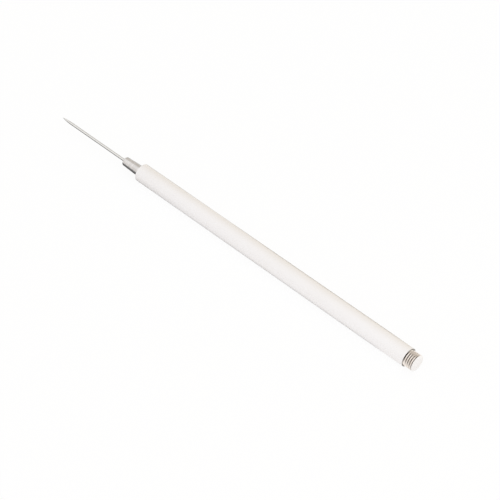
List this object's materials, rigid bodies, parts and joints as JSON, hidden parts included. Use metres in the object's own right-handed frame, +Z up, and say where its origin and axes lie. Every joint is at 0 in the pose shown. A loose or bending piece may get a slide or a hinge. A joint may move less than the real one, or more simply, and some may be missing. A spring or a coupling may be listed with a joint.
{
  "type": "pottery needle tool",
  "caption": "Slim white pen-like potter's needle tool: a pointed steel needle held by a slit collet in a metal nose, released by a ringed spring-loaded push button in the tail.",
  "frame": {"origin": "under the middle of the tool, on the surface that it lies on", "axes": "+X along the tool's axis from the needle's point towards the push button, +Z up, away from the surface"},
  "size_m": [0.1764, 0.007, 0.007],
  "materials": {
    "white_enamel": "smooth stoved enamel on a thin metal tube, soft gloss",
    "nickel": "turned brass, satin nickel plated, with fine turning lines",
    "button_nickel": "turned rings, bright nickel plated, slightly warm",
    "white_plastic": "moulded, slightly domed, soft gloss",
    "needle_steel": "drawn and polished stainless wire, ground point",
    "brass": "turned, bare",
    "spring_steel": "drawn music wire"
  },
  "bodies": {
    "handle": {"barrel": "white_enamel", "front_bush": "brass", "nose_ferrule": "nickel", "rear_bush": "brass", "return_spring": "spring_steel"},
    "clutch": {"collet_jaws": "brass", "push_tube": "brass", "spring_collar": "brass", "button_sleeve": "button_nickel", "end_plug": "white_plastic"},
    "needle": {"needle": "needle_steel", "needle_stop": "spring_steel"}
  },
  "joints": [
    {"name": "button_press", "type": "slide", "parent": "handle", "child": "clutch", "axis": [-1, 0, 0], "range_m": [0, 0.002], "stiffness_N_per_m": 500, "springref_m": -0.004, "deforming": ["return_spring"]},
    {"name": "needle_slide", "type": "slide", "parent": "clutch", "child": "needle", "axis": [1, 0, 0], "range_m": [0, 0.03555]}
  ]
}
